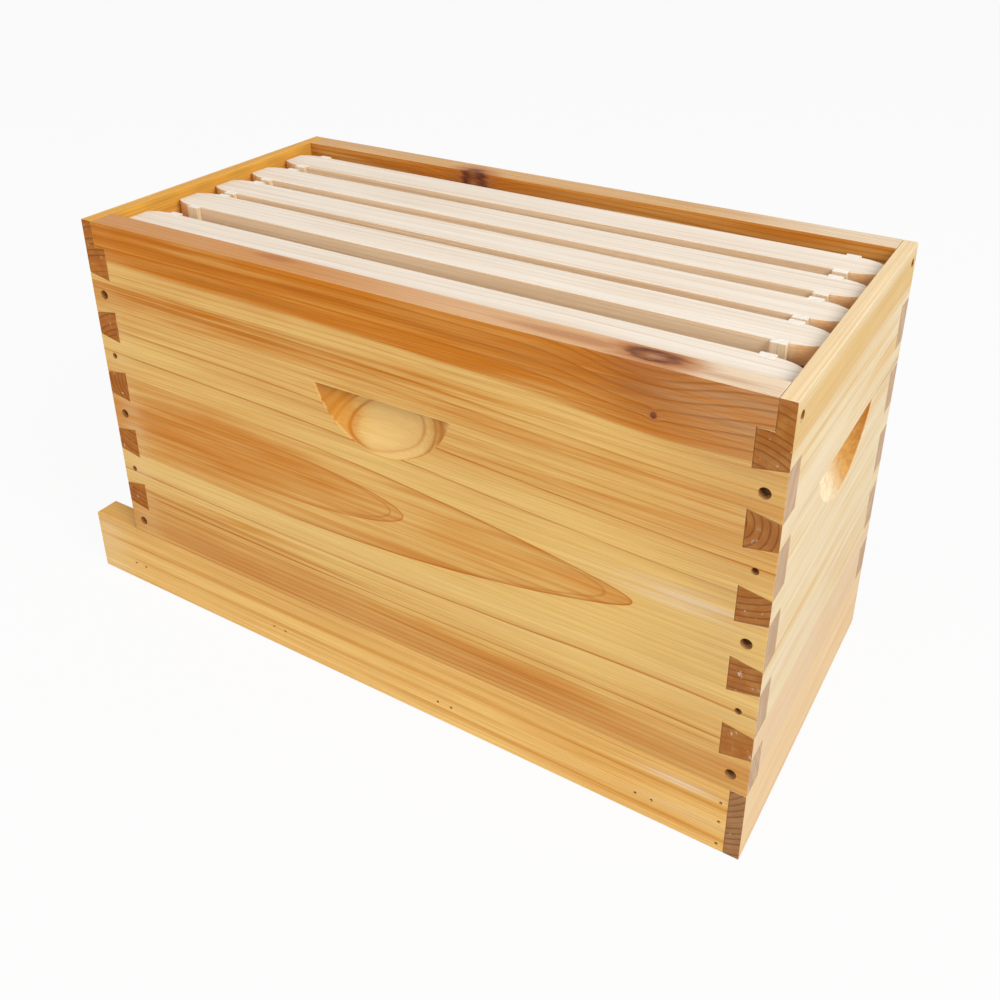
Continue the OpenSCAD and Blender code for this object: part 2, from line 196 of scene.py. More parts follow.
def boardPlaces(name, settings):      # a point in mm from the board's centre, and the way its face is turned
    material, tree, shader, place = newMaterial(name)
    s = {**woodDefaults, **settings}
    point = vector(tree, "SUBTRACT", place.outputs["Object"], s["centre"])
    point = vector(tree, "MULTIPLY", point, (1 / mm, 1 / mm, 1 / mm))
    along = vector(tree, "DOT_PRODUCT", point, axes[s["along"]])
    up = vector(tree, "DOT_PRODUCT", point, axes[s["up"]])
    deep = vector(tree, "DOT_PRODUCT", point, tuple(s["inward"] * v for v in axes[s["inAxis"]]))
    own = addNode(tree, "ShaderNodeCombineXYZ")
    for socket, value in zip(own.inputs, (along, up, deep)):
        feed(tree, socket, value)
    wood = SimpleNamespace(
        s=s, seed=s["seed"], material=material, tree=tree, shader=shader, along=along, up=up, deep=deep,
        own=own.outputs[0], spot=place.outputs["Object"], normal=place.outputs["Normal"],
    )
    wood.cutEnd = ramp(tree, turnedTo(wood, s["along"]), 0.45, 0.9)      # end grain
    wood.flat = ramp(tree, turnedTo(wood, s["inAxis"]), 0.5, 0.8)      # broad faces
    return wood


def turnedTo(wood, axis):      # 1 on faces turned to the axis, 0 on faces that lie along it
    return calc(wood.tree, "ABSOLUTE", vector(wood.tree, "DOT_PRODUCT", wood.normal, axes[axis]))


def pithDistance(wood):
    # The root of squared depth and height over a pith line, whose depth bows along the grain. Rings sway a
    # little. The slant turns a distance between rings into a distance on the face.
    tree, s = wood.tree, wood.s
    sway = noise(tree, wood.own, grain["sway"], (wood.seed, 0, 0), 1.0)
    sway = calc(tree, "MULTIPLY_ADD", sway, 2 * s["wander"], -s["wander"] - s["ripple"])
    wood.ripple = noise(tree, wood.own, grain["ripple"], (0, wood.seed, 0))
    wood.sway = calc(tree, "MULTIPLY_ADD", wood.ripple, 2 * s["ripple"], sway)
    height, reach = s["skewAt"]
    sloped = bell(tree, calc(tree, "SUBTRACT", calc(tree, "ABSOLUTE", wood.up), height), reach)
    sloped = times(tree, wood.along, sloped, -s["skew"])
    wood.rise = calc(tree, "ADD", sloped, calc(tree, "ADD", wood.up, wood.sway))
    begin, end, sink = s["bow"]
    part = calc(tree, "DIVIDE", calc(tree, "SUBTRACT", wood.along, begin), end - begin)
    part = calc(tree, "MINIMUM", calc(tree, "MAXIMUM", part, 0.0), 1.0)
    bow = ramp(tree, wood.along, begin, end, s["pithDepth"], s["pithDepth"] + sink)
    pith = calc(tree, "MULTIPLY_ADD", wood.along, s["pithSlope"], bow)
    turn = times(tree, part, calc(tree, "SUBTRACT", 1.0, part), 6 * sink / (end - begin))
    turn = calc(tree, "ADD", turn, s["pithSlope"])      # slope of the pith's depth
    gone = calc(tree, "SUBTRACT", pith, times(tree, wood.deep, s["inLean"]))
    radius = rootOfSquares(tree, gone, wood.rise)
    steep = calc(tree, "DIVIDE", times(tree, gone, turn), radius)
    slant = rootOfSquares(tree, steep, calc(tree, "DIVIDE", wood.rise, radius))
    slant = calc(tree, "MAXIMUM", slant, leastSlant)
    wood.slant = calc(tree, "MULTIPLY_ADD", wood.cutEnd, calc(tree, "SUBTRACT", 1.0, slant), slant)
    return radius


def pushedByKnots(wood, radius):      # knots push the rings aside and darken the wood round them
    tree, own, seed, look = wood.tree, wood.own, wood.seed, knotLook
    wood.bark, wood.halo, wood.eye = 0.0, 0.0, 0.0
    for centre, size, push, dark in wood.s["knots"]:
        large = push > look["largePush"]      # large ones have a paler middle and an eye
        far = vector(tree, "DIVIDE", vector(tree, "SUBTRACT", wood.spot, centre), size)
        far = vector(tree, "LENGTH", far)
        radius = calc(tree, "MULTIPLY_ADD", bell(tree, far, look["pushReach"]), push, radius)
        ragged = noise(tree, own, grain["knotEdge"], (seed, seed, 0), 3.0)
        far = calc(tree, "SUBTRACT", far, look["ragged"] / 2)
        far = calc(tree, "MULTIPLY_ADD", ragged, look["ragged"], far)
        bark = ramp(tree, far, *look["middle"], look["middleShare"] if large else 1.0, 1.0)
        broken = noise(tree, own, grain["knotBark"], (0, seed, seed), 2.0)
        bark = times(tree, bark, ramp(tree, far, *look["bark"]), ramp(tree, broken, 0.35, 0.6, 0.7, 1.0))
        wood.bark = calc(tree, "MAXIMUM", wood.bark, times(tree, bark, min(1.0, push / 2) * dark))
        wood.halo = calc(tree, "MAXIMUM", wood.halo, ramp(tree, far, *look["halo"], 0.0, dark))
        wood.eye = calc(tree, "MAXIMUM", wood.eye, ramp(tree, far, *look["eye"], 0.0, dark if large else 0.0))
    return radius


def chanceOf(tree, year, offset):      # one chance value for each year
    node = addNode(tree, "ShaderNodeTexWhiteNoise", noise_dimensions="1D")
    feed(tree, node.inputs["W"], calc(tree, "ADD", year, offset))
    return node.outputs[0]


def yearStops(tree, year, years):      # tone and line strength of each year, read off a colour ramp
    first, last = years[0][0], years[-1][0]
    node = addNode(tree, "ShaderNodeValToRGB")
    stops = node.color_ramp.elements
    for at, tone, line in years[1:-1]:
        stops.new((at - first) / (last - first)).color = (tone, line, 0, 1)
    for stop, (_, tone, line) in ((stops[0], years[0]), (stops[len(stops) - 1], years[-1])):
        stop.color = (tone, line, 0, 1)
    feed(tree, node.inputs[0], calc(tree, "DIVIDE", calc(tree, "SUBTRACT", year, first), last - first))
    split = addNode(tree, "ShaderNodeSeparateColor")
    feed(tree, split.inputs[0], node.outputs[0])
    return split.outputs[0], split.outputs[1]


def growthRings(wood, radius):      # each year's tone and line, and how far through the year a point lies
    tree, s = wood.tree, wood.s
    ring = calc(tree, "DIVIDE", calc(tree, "SUBTRACT", radius, s["ringZero"]), s["ringWidth"])
    wood.year = calc(tree, "FLOOR", ring)
    wood.season = calc(tree, "FRACT", ring)
    wood.chance = chanceOf(tree, wood.year, wood.seed + 0.37)
    wood.patch = noise(tree, wood.own, grain["patch"], (0, 0, wood.seed))
    if s["years"]:
        tone, line = yearStops(tree, wood.year, s["years"])
    else:
        tone = ramp(tree, chanceOf(tree, wood.year, wood.seed + 7.71), 0.0, 1.0, *s["toneRange"])
        line = ramp(tree, wood.chance, 0.0, 1.0, *s["lineRange"])
    wood.line = times(tree, line, ramp(tree, wood.patch, 0.2, 0.75, 0.55, 1.1))
    return tone


def lateWood(wood):      # a thin dark line at the end of each year, with a slow shade running up to it
    tree, s = wood.tree, wood.s
    toLine = times(tree, calc(tree, "SUBTRACT", 1.0, wood.season), s["ringWidth"])
    toLine = calc(tree, "DIVIDE", toLine, wood.slant)      # mm on the face
    wood.thin = ramp(tree, toLine, s["lineWidth"], 0.35 * s["lineWidth"])
    wood.slow = calc(tree, "POWER", ramp(tree, toLine, 8 * s["lineWidth"], 0.0), 2.0)
    late = calc(tree, "MULTIPLY_ADD", wood.thin, s["lineShare"], times(tree, wood.slow, s["shade"]))
    late = times(tree, wood.line, late)
    if s["twins"]:      # the middle rings carry a second line, and both lines fade away from their tips
        middle = calc(tree, "LESS_THAN", wood.year, s["twins"])
        inside = times(tree, calc(tree, "SUBTRACT", wood.season, twinPlace), s["ringWidth"])
        inside = calc(tree, "DIVIDE", inside, wood.slant)
        late = calc(tree, "MAXIMUM", late, times(tree, bell(tree, inside, twinWidth), middle, twinShare))
        fade = ramp(tree, wood.along, *s["tips"], twinFade, 0.0)
        late = times(tree, late, calc(tree, "MULTIPLY_ADD", middle, fade, 1.0))
    if s["whorl"]:
        inScoop, loops = whorlLoops(wood)
        late = calc(tree, "MULTIPLY_ADD", inScoop, calc(tree, "SUBTRACT", loops, late), late)
    return calc(tree, "MINIMUM", late, 1.0)


def whorlLoops(wood):      # inside a handhold the rings close into ovals
    tree, hold = wood.tree, handhold
    atAlong, atUp, long, tall = wood.s["whorl"]
    inScoop = between(tree, wood.up, atUp - hold["below"], atUp + hold["above"], 0.3)
    inScoop = times(tree, inScoop, between(tree, wood.deep, 0.15, hold["depth"], 0.12))
    begin, end = atAlong - hold["halfLength"], atAlong + hold["halfLength"]
    inScoop = times(tree, inScoop, between(tree, wood.along, begin, end, 1.0))
    across = calc(tree, "DIVIDE", calc(tree, "SUBTRACT", wood.along, atAlong), long)
    upward = calc(tree, "DIVIDE", calc(tree, "SUBTRACT", wood.up, atUp), tall)
    upward = calc(tree, "MULTIPLY_ADD", across, -0.3, upward)      # the ovals lean
    oval = calc(tree, "MULTIPLY_ADD", wood.ripple, 0.16, rootOfSquares(tree, across, upward))
    loops = 0.0
    for at, wide, share in wood.s["loops"]:
        loop = times(tree, bell(tree, calc(tree, "SUBTRACT", oval, at), wide), share)
        loops = calc(tree, "MAXIMUM", loops, loop)
    return inScoop, loops


def groundColour(wood, tone):      # early to heart wood by tone, with clouds and stripes, then bands
    tree, s = wood.tree, wood.s
    cloud = ramp(tree, wood.patch, 0.25, 0.75, -s["cloud"], s["cloud"])
    stripe = noise(tree, wood.own, grain["stripe"], (wood.seed, wood.seed, 0), 3.0, 0.6)
    cloud = calc(tree, "ADD", cloud, ramp(tree, stripe, 0.25, 0.75, -s["cloud"], s["cloud"]))
    cloud = times(tree, cloud, ramp(tree, tone, 0.0, 0.4, 0.45, 1.0))      # pale wood is the more even
    tone = calc(tree, "MAXIMUM", calc(tree, "ADD", tone, cloud), 0.0)
    colour = blendColour(tree, calc(tree, "MINIMUM", tone, 1.0), s["early"], s["heart"])
    for low, high, tint, share in s["bands"]:
        inBand = between(tree, calc(tree, "ADD", wood.sway, wood.up), low, high, min(5.0, (high - low) / 2))
        colour = blendColour(tree, times(tree, inBand, share), colour, tint)
    return colour


def washed(wood, colour, forms):      # soft torn patches of wax on broad faces
    tree = wood.tree
    for atAlong, atUp, long, tall, tint, share in forms:
        wash = times(tree, bell(tree, calc(tree, "SUBTRACT", wood.along, atAlong), long), wood.flat)
        wash = times(tree, bell(tree, calc(tree, "SUBTRACT", wood.up, atUp), tall), wash)
        torn = noise(tree, wood.own, grain["wash"], (atAlong, atUp, 0), 3.0)
        colour = blendColour(tree, times(tree, wash, ramp(tree, torn, 0.3, 0.65), share), colour, tint)
    return colour


def linedColour(wood, colour, late):      # streaks, edges and late wood between the smears and the hazes
    tree, s = wood.tree, wood.s
    colour = washed(wood, colour, s["smears"])
    for height, width, begin, end, share in s["streaks"]:
        streak = times(tree, bell(tree, calc(tree, "SUBTRACT", wood.rise, height), width), share)
        streak = times(tree, streak, between(tree, wood.along, begin, end, streakSoft))
        colour = blendColour(tree, streak, colour, s["late"])
    for axis, tint, share, kind, begin, end, soft in s["sides"]:
        turned = ramp(tree, turnedTo(wood, axis), 0.6, 0.9, 0.0, share)
        turned = times(tree, turned, between(tree, wood.along, begin, end, soft))
        colour = blendColour(tree, turned, colour, tint, kind)
        if kind == "MIX":
            late = times(tree, late, calc(tree, "MULTIPLY_ADD", turned, edgeCalm, 1.0))
    colour = washed(wood, blendColour(tree, late, colour, s["late"]), s["hazes"])
    for beginAlong, beginUp, soft, tint, share in s["darkLines"]:
        there = times(tree, wood.flat, ramp(tree, wood.along, beginAlong, beginAlong + soft))
        there = times(tree, there, ramp(tree, wood.up, beginUp, beginUp + lineRise))
        colour = blendColour(tree, times(tree, wood.thin, wood.line, there, share), colour, tint)
    return colour, late


def fibredColour(wood, colour):      # fine fibres, and handholds, which are cut across them and are tinted darker and paler in patches; on the rear end board the tints are painted shade on the far half and a painted highlight on the near half, over a wax-darkened ground
    tree, s = wood.tree, wood.s
    fibre = noise(tree, wood.own, grain["fibre"], (0, 0, wood.seed), 4.0, 0.7)
    fibre = ramp(tree, fibre, 0.30, 0.70)
    gaps = times(tree, calc(tree, "SUBTRACT", 1.0, fibre), s["fibre"])
    colour = blendColour(tree, gaps, colour, darkFibre, "MULTIPLY")
    colour = blendColour(tree, times(tree, fibre, s["fibre"]), colour, brightFibre, "MULTIPLY")
    torn = ramp(tree, noise(tree, wood.own, grain["tear"], (wood.seed, 0, 0), 4.0, 0.7), 0.35, 0.65)
    for low, high, begin, end, tint, share in s["scoop"]:
        inside = between(tree, wood.deep, 0.5, handhold["depth"], 0.4)
        inside = times(tree, inside, between(tree, wood.up, low, high, 0.5))
        inside = times(tree, inside, between(tree, wood.along, begin, end, s["scoopSoft"]))
        colour = blendColour(tree, times(tree, inside, share), colour, tint)
        colour = blendColour(tree, times(tree, inside, torn, s["mottle"]), colour, darkFibre, "MULTIPLY")
    return colour, fibre


def endGrainColour(wood):      # end grain drinks wax and turns brown, with white wax left in its pores
    tree, s, own, seed = wood.tree, wood.s, wood.own, wood.seed
    dark = calc(tree, "MULTIPLY_ADD", wood.thin, 0.5, times(tree, wood.slow, 0.25))
    dark = times(tree, dark, ramp(tree, wood.chance, 0.0, 0.6, 0.3, 1.0))
    pores = noise(tree, own, grain["pores"], (0, seed, 0), 3.0)
    blotch = noise(tree, own, grain["blotch"], (seed, 0, seed))
    colour = blendColour(tree, ramp(tree, blotch, 0.35, 0.7, 0.0, 0.5), s["endGrain"], s["endPale"])
    colour = blendColour(tree, ramp(tree, pores, 0.3, 0.7, 0.0, 0.25), colour, s["endLine"])
    colour = blendColour(tree, calc(tree, "MINIMUM", dark, 1.0), colour, s["endLine"])
    fleck = noise(tree, own, grain["fleck"], (seed, seed, seed), 4.0, 0.6)
    return blendColour(tree, ramp(tree, fleck, 0.62, 0.74, 0.0, s["flecks"]), colour, waxWhite)


def waxedAndShadedWalls(wood, colour):      # hole walls, dovetail flanks and lower edges are dark with wax and with painted shade
    tree = wood.tree
    begin, end, top = wood.s["cuts"]
    wall = times(tree, calc(tree, "SUBTRACT", 1.0, wood.flat), between(tree, wood.along, begin, end, 0.5))
    wall = calc(tree, "MAXIMUM", wall, ramp(tree, turnedTo(wood, wood.s["up"]), 0.55, 0.7))
    wall = times(tree, wall, ramp(tree, wood.up, top, top - 1.0, 0.0, waxAndShadeShare))
    return blendColour(tree, wall, colour, waxAndShadeTint)


def knottedColour(wood, colour):
    for part in ("halo", "bark", "eye"):
        share = times(wood.tree, getattr(wood, part), knotLook[part + "Share"])
        colour = blendColour(wood.tree, share, colour, knotLook[part + "Tint"])
    return colour


def sawnWood(name, **settings):
    wood = boardPlaces(name, settings)
    tree, s, shader = wood.tree, wood.s, wood.shader
    radius = pushedByKnots(wood, pithDistance(wood))
    tone = growthRings(wood, radius)
    colour, late = linedColour(wood, groundColour(wood, tone), lateWood(wood))
    colour, fibre = fibredColour(wood, colour)
    colour = blendColour(tree, times(tree, wood.cutEnd, s["endShare"]), colour, endGrainColour(wood))
    # wax and painted shade in hole walls, joint gaps and lower edges
    if s["cuts"]:
        colour = waxedAndShadedWalls(wood, colour)
    if s["knots"]:
        colour = knottedColour(wood, colour)
    feed(tree, shader.inputs["Base Color"], colour)
    shine = noise(tree, wood.own, grain["shine"], (wood.seed, 0, 0), 3.0)
    shine = ramp(tree, shine, 0.25, 0.75, s["rough"] - 0.07, s["rough"] + 0.10)
    feed(tree, shader.inputs["Roughness"], calc(tree, "MULTIPLY_ADD", wood.cutEnd, 0.15, shine))
    shader.inputs["Specular IOR Level"].default_value = s["gloss"]
    bumpFrom(tree, shader, calc(tree, "MULTIPLY_ADD", late, 0.3, fibre), 0.3, 0.0004)
    return wood.material


# Pieces that stay as the workshop cut them, with their arrises eased.
arris = {"weld": 1e-6, "flatAngle": math.radians(0.5), "sharpAngle": 0.6, "leastLength": 4, "segments": 2}


def easedCopy(node, ease, body, material):
    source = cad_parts[node]
    mesh = bmesh.new()
    mesh.from_mesh(source.data)
    bmesh.ops.remove_doubles(mesh, verts=mesh.verts, dist=arris["weld"])
    bmesh.ops.dissolve_limit(mesh, angle_limit=arris["flatAngle"], verts=mesh.verts, edges=mesh.edges)
    weight = mesh.edges.layers.float.new("bevel_weight_edge")
    for edge in mesh.edges:      # long convex arrises only: hole rims stay crisp
        long = edge.calc_length() > arris["leastLength"] * ease
        convex = len(edge.link_faces) == 2 and edge.is_convex
        if long and convex and edge.calc_face_angle() > arris["sharpAngle"]:
            edge[weight] = 1.0
    data = bpy.data.meshes.new(node + "_eased")
    mesh.to_mesh(data)
    mesh.free()
    piece = bpy.data.objects.new(node + "_eased", data)
    bpy.context.scene.collection.objects.link(piece)
    data.materials.append(material)
    bevel = piece.modifiers.new("eased arrises", "BEVEL")
    bevel.limit_method = "WEIGHT"
    bevel.width = ease
    bevel.segments = arris["segments"]
    bevel.use_clamp_overlap = True
    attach(piece, body)
    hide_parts(node)


# The box: two tailed side boards and two pinned end boards.
box = {
    "ease": 0.5 * mm,
    "boards": {
        "side_board_near": dict(
            centre=(boxFront, boxNear, 0.162), pithDepth=150.0, pithSlope=0.0, bow=(150.0, 470.0, 3.816),
            skew=-0.028, inLean=1.4, ringZero=148.687, ringWidth=2.47, wander=1.6, ripple=0.5, seed=3.0,
            twins=1.5, cloud=0.26, fibre=0.5, cuts=(2.0, 503.0, 148.0),
            years=((0, 0.64, 0.95), (1, 0.44, 0.95), (2, 0.0, 0.1), (3, 0.04, 0.95), (4, 0.06, 0.15),
                   (5, 0.08, 0.35), (6, 0.10, 0.95), (7, 0.20, 0.5), (8, 0.26, 0.4), (9, 0.32, 0.6),
                   (10, 0.38, 0.4), (12, 0.40, 0.6), (13, 0.32, 0.6), (14, 0.05, 0.3), (16, 0.06, 0.4),
                   (17, 0.12, 0.5), (18, 0.92, 0.6), (19, 0.9, 0.3), (20, 1.0, 1.0), (21, 0.85, 0.3),
                   (22, 1.0, 0.9), (23, 0.85, 0.3), (24, 1.0, 1.0), (25, 0.8, 0.4), (26, 1.0, 0.9),
                   (29, 1.0, 0.9)),
            sides=(("z", (0.67, 0.35, 0.145), 0.8, "MIX", -99, 999, 1),
                   ("z", (0.78, 0.52, 0.31), 0.7, "MIX", 260, 999, 70),
                   ("z", (0.83, 0.68, 0.50), 0.95, "MIX", 448, 999, 16)),
            bands=((-60, -36, (0.82, 0.575, 0.22), 0.6), (-120, -89, (0.59, 0.26, 0.065), 0.55)),
            streaks=((139, 1.6, -30, 330, 0.5), (135, 0.9, 60, 420, 0.45), (127, 1.2, -30, 260, 0.45),
                     (107, 1.0, 20, 330, 0.4), (103, 1.0, 0, 300, 0.45), (99, 1.4, 30, 190, 0.7),
                     (-66, 1.2, -30, 230, 0.6), (-79, 2.0, -30, 420, 0.3), (-84, 1.0, 200, 400, 0.5)),
            endGrain=(0.58, 0.41, 0.27), endLine=(0.37, 0.23, 0.14), endPale=(0.66, 0.50, 0.36), flecks=0.12,
            smears=((105, 103, 75, 4.5, (0.55, 0.18, 0.008), 1.0), (290, 103, 70, 4, (0.6, 0.22, 0.012), 0.9),
                    (150, 139, 120, 2.2, (0.38, 0.11, 0.006), 0.9),
                    (330, 136, 110, 1.6, (0.40, 0.12, 0.01), 0.8),
                    (110, 127, 110, 1.8, (0.40, 0.12, 0.008), 0.9), (60, 146, 70, 2, (0.42, 0.13, 0.01), 0.6),
                    (230, 131, 90, 3, (0.74, 0.36, 0.07), 0.7), (40, 133, 70, 2, (0.72, 0.34, 0.06), 0.6),
                    (60, 33, 130, 9, (0.64, 0.27, 0.045), 0.5), (40, 0, 110, 26, (0.56, 0.19, 0.025), 0.5),
                    (60, -8, 60, 3, (0.50, 0.15, 0.015), 0.5), (180, 8, 50, 2, (0.52, 0.17, 0.02), 0.5),
                    (290, -82, 70, 4, (0.64, 0.26, 0.018), 0.7), (120, -62, 60, 4, (0.60, 0.22, 0.018), 0.8)),
            hazes=((380, 134, 60, 12, (0.53, 0.21, 0.045), 0.7), (425, 138, 28, 18, (0.35, 0.10, 0.013), 0.9),
                   (490, 130, 50, 24, (0.53, 0.29, 0.13), 1.0), (470, 140, 50, 14, (0.50, 0.25, 0.11), 0.9),
                   (470, 128, 50, 1.6, (0.40, 0.17, 0.05), 0.8), (450, 117, 60, 1.4, (0.46, 0.20, 0.05), 0.7),
                   (480, 10, 34, 110, (0.60, 0.40, 0.18), 0.5), (455, 13, 38, 6, waxWhite, 0.7),
                   (18, -20, 12, 120, (0.80, 0.60, 0.34), 0.35), (335, 143, 70, 7, (0.50, 0.17, 0.025), 0.5)),
            darkLines=((300, 104, 140, (0.27, 0.095, 0.022), 0.5),),
            scoop=((39.0, 78.2, 199.0, 229.0, (0.62, 0.24, 0.025), 0.75),
                   (60.0, 78.2, 190.0, 210.0, (0.42, 0.15, 0.025), 0.7),
                   (39.0, 78.2, 236.0, 284.0, (0.80, 0.53, 0.20), 0.6),
                   (39.0, 78.2, 290.0, 306.0, (0.50, 0.21, 0.045), 0.6)), whorl=(254.0, 59.0, 29.0, 17.0),
            knots=(((0.1970, -0.1145, 0.3125), (0.020, 0.0082, 0.010), 4.0, 1.0),
                   ((0.1520, -0.1165, 0.3125), (0.034, 0.0036, 0.005), 0.3, 0.65),
                   ((0.2350, -0.1185, 0.3125), (0.014, 0.0020, 0.003), 0.2, 0.4),
                   ((0.2000, -0.1250, 0.2980), (0.026, 0.0200, 0.014), 6.0, 0.0),
                   ((-0.0640, -0.1115, 0.3125), (0.012, 0.0030, 0.004), 0.3, 0.6),
                   ((0.2025, -0.1255, 0.2837), (0.0022, 0.004, 0.0026), 2.0, 1.0)),
        ),
        "side_board_far": dict(
            centre=(boxFront, boxFar, 0.19), inward=-1, pithDepth=130.0, pithSlope=0.002,
            bow=(80.0, 420.0, 4.5), sides=(("z", (0.74, 0.49, 0.25), 0.85, "MIX", -99, 999, 1),
                                          ("z", (0.84, 0.70, 0.52), 0.9, "MIX", 400, 999, 60)),
            ringZero=130.4, ringWidth=2.7, seed=11.0, heart=(0.56, 0.19, 0.018), cuts=(2.0, 503.0, 120.0),
            years=((-1, 0.6, 0.6), (0, 0.55, 0.9), (1, 0.5, 0.9), (2, 0.05, 0.3), (4, 0.05, 0.7),
                   (8, 0.15, 0.6), (11, 0.5, 0.8), (14, 0.75, 0.7), (30, 0.85, 0.6)),
            endGrain=(0.58, 0.41, 0.27), endLine=(0.37, 0.23, 0.14), endPale=(0.66, 0.50, 0.36), flecks=0.12,
            smears=((90, 106, 170, 20, (0.50, 0.135, 0.002), 1.0),),
            scoop=((11.0, 50.2, 190.0, 315.0, (0.66, 0.33, 0.07), 0.8),), mottle=0.6,
            knots=(((-0.0555, 0.104, 0.299), (0.015, 0.012, 0.03), 8.0, 1.0),),
        ),
        "end_board_rear": dict(
            along="y", inAxis="x", centre=(boxRear, 0.0, 0.236), inward=-1, pithDepth=30.0, pithSlope=0.03,
            ringZero=0.0, ringWidth=4.2, lineWidth=1.6, seed=21.0, lineRange=(0.0, 0.4),
            toneRange=(0.0, 0.4), early=(0.775, 0.65, 0.43), heart=(0.73, 0.51, 0.235),
            late=(0.62, 0.39, 0.17), fibre=0.36, cloud=0.7, cuts=(-123.0, 123.0, 55.0),
            sides=(("z", (0.90, 0.69, 0.41), 0.9, "MIX", -999, 999, 1),),
            bands=((46, 71, (0.69, 0.455, 0.17), 0.9), (-190, -140, (0.74, 0.54, 0.33), 0.9)),
            smears=((105, -7, 42, 1.8, (0.36, 0.20, 0.13), 0.9), (-70, -5, 34, 2.0, (0.62, 0.38, 0.25), 0.8),
                    (0, -118, 130, 5, (0.70, 0.47, 0.28), 0.6)),
            # painted shade over the handhold's far half and a painted highlight over its near half, on a
            # wax-darkened ground
            scoop=((-46, -6.2, -99.0, 99.0, (0.66, 0.34, 0.075), 0.95),
                   (-46, -6.2, 34.0, 99.0, (0.40, 0.13, 0.010), 0.85),
                   (-46, -6.2, -99.0, -4.0, (0.96, 0.83, 0.57), 0.95)),
            scoopSoft=22.0, mottle=0.6,
        ),
        "end_board_front": dict(
            along="y", inAxis="x", centre=(boxFront, 0.0, 0.19), inward=1, pithDepth=26.0, pithSlope=-0.03,
            ringZero=0.0, ringWidth=4.0, lineWidth=1.6, seed=34.0, lineRange=(0.0, 0.5), toneRange=(0.0, 0.5),
            endGrain=(0.44, 0.130, 0.022), endPale=(0.58, 0.24, 0.045), flecks=0.8,
            early=(0.83, 0.455, 0.085), heart=(0.66, 0.28, 0.035), late=(0.48, 0.17, 0.02), cloud=0.4,
            scoop=((0, 39.8, -60.0, 60.0, (0.60, 0.27, 0.06), 0.6),), mottle=0.8,
            cuts=(-123.0, 123.0, 101.0),
        ),
    },
}
for node, settings in box["boards"].items():
    easedCopy(node, box["ease"], "hive_body", sawnWood(node + "_wood", **settings))
print("box boards done")


# The bottom board: rails and floor.
base = {
    "ease": 0.5 * mm,
    "pieces": {
        "side_rail_near": dict(
            centre=(0.0, boxNear, -0.11), pithDepth=260.0, pithSlope=0.004, ringZero=262.0, ringWidth=2.3,
            seed=41.0, toneRange=(0.0, 0.2), lineRange=(0.0, 0.45), early=(0.86, 0.57, 0.20),
            late=(0.62, 0.26, 0.030),
            streaks=((145, 2.6, -260, 320, 0.65), (131, 1.8, -240, 100, 0.45), (120, 1.6, 0, 320, 0.5)),
            bands=((147, 170, (0.70, 0.385, 0.11), 0.35),),
            smears=((190, 137, 60, 5, (0.66, 0.27, 0.025), 0.8), (195, 119, 70, 4, (0.66, 0.27, 0.03), 0.7),
                    (-266, 136, 22, 40, (0.84, 0.66, 0.40), 0.6)),
            hazes=((235, 151, 24, 3, waxWhite, 0.5), (240, 129, 24, 3, waxWhite, 0.5)),
        ),
        "side_rail_far": dict(
            centre=(0.0, boxFar, -0.11), inward=-1, pithDepth=220.0, ringZero=221.0, ringWidth=2.3, seed=47.0,
            lineRange=(0.05, 0.55),
        ),
        "rear_rail": dict(
            along="y", inAxis="x", centre=(boxRear, 0.0, 0.09), inward=-1, pithDepth=44.0, ringZero=0.0,
            ringWidth=4.0, seed=53.0, early=(0.80, 0.59, 0.34), heart=(0.74, 0.47, 0.20),
            late=(0.62, 0.34, 0.12), lineRange=(0.0, 0.4), fibre=0.3,
            endGrain=(0.40, 0.185, 0.068), endLine=(0.15, 0.058, 0.02), endPale=(0.5, 0.27, 0.12), flecks=0.2,
        ),
        "floor_panel": dict(
            centre=(-0.25, 0.02, floorTop), up="y", inAxis="z", inward=-1, bow=(60.0, 480.0, 4.0), seed=59.0,
            toneRange=(0.0, 0.5),
        ),
    },
}
for node, settings in base["pieces"].items():
    easedCopy(node, base["ease"], "bottom_board", sawnWood(node + "_wood", **settings))
print("bottom board done")


# Hanging frames in bare planed wood.
frames = {
    "count": 5, "ease": 0.35 * mm,
    "plain": dict(
        early=(0.93, 0.85, 0.75), heart=(0.86, 0.72, 0.56), late=(0.62, 0.45, 0.29), wander=3.0,
        endGrain=(0.97, 0.94, 0.89), endLine=(0.82, 0.72, 0.58), endPale=(0.98, 0.96, 0.92), flecks=0.0,
        fibre=0.35, cloud=0.25, rough=0.6, gloss=0.04, ringWidth=2.3, lineWidth=1.3, lineRange=(0.0, 0.6),
    ),
    # painted shade with warm bounce light on the bars' sides, which face the next frame, deeper still at the
    # lug ends
    "sides": (("y", (0.95, 0.79, 0.60), 1.0, "MULTIPLY", -99, 999, 1),
              ("y", (0.92, 0.72, 0.53), 1.0, "MULTIPLY", -99, 36, 3),
              ("y", (0.92, 0.72, 0.53), 1.0, "MULTIPLY", 490, 999, 3)),
    "upright": (0.88, 0.70, 0.47),
    "pithAside": 0.030, "pithStep": 0.009,      # metres beside a bar, and further for each frame
    "pithDepth": 70.0, "depthStep": 9.0,      # mm, because each frame is cut from another plank
    "barSeed": 60.0, "uprightSeed": 90.0, "seedStep": 5.0,
}
